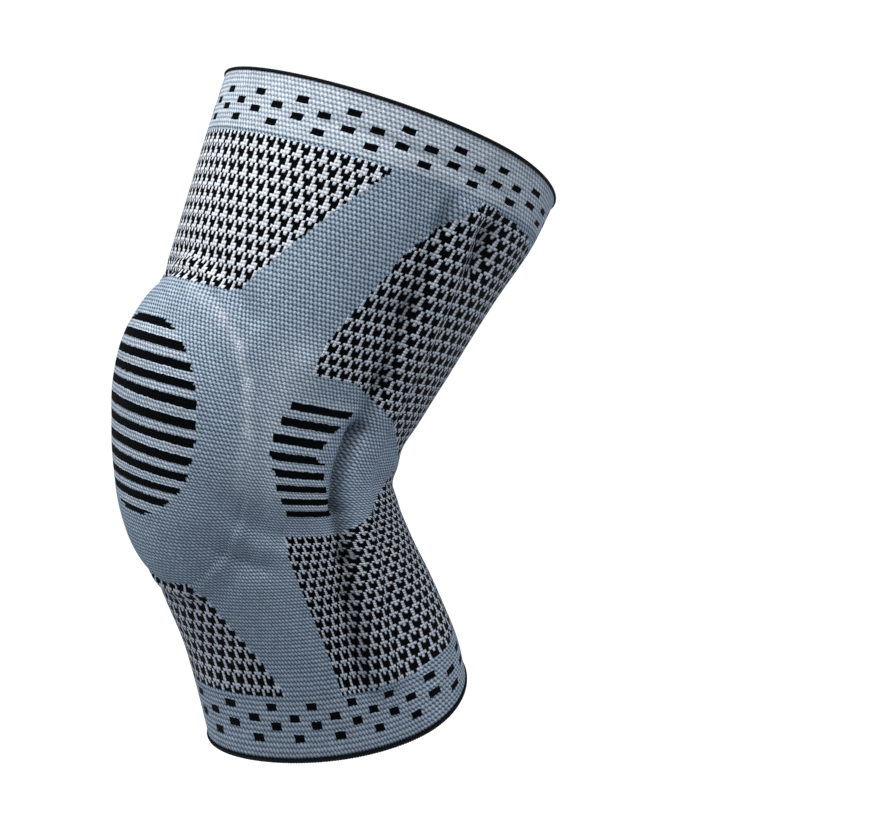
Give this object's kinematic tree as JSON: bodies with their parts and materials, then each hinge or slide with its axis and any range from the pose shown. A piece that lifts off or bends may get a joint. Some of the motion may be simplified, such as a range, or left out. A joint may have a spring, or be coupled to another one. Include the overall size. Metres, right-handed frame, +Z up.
{
  "type": "knee brace",
  "caption": "Knitted compression sleeve for the knee in its bent, worn form, with a cushioned kneecap pad, side stays under raised ridges and black edgings.",
  "frame": {"origin": "centre of the knee's bend, inside the hollow where the leg goes", "axes": "+Z up the brace towards the thigh opening, -Y the way the kneecap faces, +X to one side; the YZ plane divides the brace into two like halves"},
  "size_m": [0.1586, 0.2141, 0.3127],
  "materials": {
    "knit": "fine jacquard knit in steel blue, off-white and near-black yarns, matte with a slight sheen",
    "edging": "black overlocked elastic edging, matte",
    "gel_pad": "soft silicone gel, satin",
    "stay_steel": "flat sprung steel strip, satin"
  },
  "bodies": {
    "root": {"knit_sleeve": "knit", "top_edge": "edging", "bottom_edge": "edging", "patella_pad": "gel_pad", "stay_outer": "stay_steel", "stay_inner": "stay_steel"}
  },
  "joints": []
}
